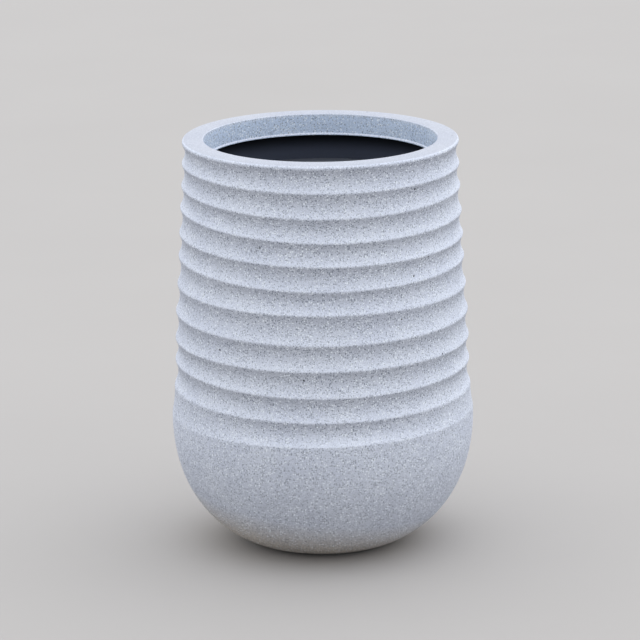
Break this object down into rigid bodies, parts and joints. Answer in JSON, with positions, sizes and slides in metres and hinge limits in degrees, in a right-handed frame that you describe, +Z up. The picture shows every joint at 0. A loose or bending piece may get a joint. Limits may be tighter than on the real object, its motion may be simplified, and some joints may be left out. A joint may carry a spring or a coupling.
{
  "type": "tall round planter",
  "caption": "Tall round garden planter: a ridged stone-look shell with a flat rim and a bowl foot, holding a lift-out black liner with folding bails and a drain grid.",
  "frame": {"origin": "on the ground under the middle of the pot", "axes": "+Z up along the pot's axis, -Y towards the front, +X to the right seen from the front"},
  "size_m": [0.36, 0.36, 0.49],
  "materials": {
    "stone_coat": "matte granite-look coat, pale blue-grey with fine dark and white grains",
    "black_plastic": "satin moulded plastic with a fine grain",
    "black_rubber": "dull moulded rubber",
    "pin_steel": "turned stainless steel"
  },
  "bodies": {
    "planter": {"outer_shell": "stone_coat", "foot_pad_front_left": "black_rubber", "foot_pad_front_right": "black_rubber", "foot_pad_back_left": "black_rubber", "foot_pad_back_right": "black_rubber"},
    "liner": {"inner_liner": "black_plastic", "handle_pin_left_front": "pin_steel", "handle_pin_left_back": "pin_steel", "handle_pin_right_front": "pin_steel", "handle_pin_right_back": "pin_steel"},
    "handle_left": {"handle_left": "black_plastic"},
    "handle_right": {"handle_right": "black_plastic"},
    "drain_grid": {"drain_grid": "black_plastic"},
    "drain_plug": {"drain_plug": "black_plastic", "drain_seal": "black_rubber"}
  },
  "joints": [
    {"name": "liner_lift", "type": "slide", "parent": "planter", "child": "liner", "axis": [0, 0, 1], "range_m": [0, 0.49]},
    {"name": "handle_left_swing", "type": "hinge", "parent": "liner", "child": "handle_left", "pos_m": [-0.09193, 0, 0.442], "axis": [0, 1, 0], "range_deg": [0, 90]},
    {"name": "handle_right_swing", "type": "hinge", "parent": "liner", "child": "handle_right", "pos_m": [0.09193, 0, 0.442], "axis": [0, -1, 0], "range_deg": [0, 90]},
    {"name": "grid_lift", "type": "slide", "parent": "liner", "child": "drain_grid", "axis": [0, 0, 1], "range_m": [0, 0.44]},
    {"name": "plug_pull", "type": "slide", "parent": "planter", "child": "drain_plug", "axis": [0, 0, 1], "range_m": [0, 0.018]}
  ]
}
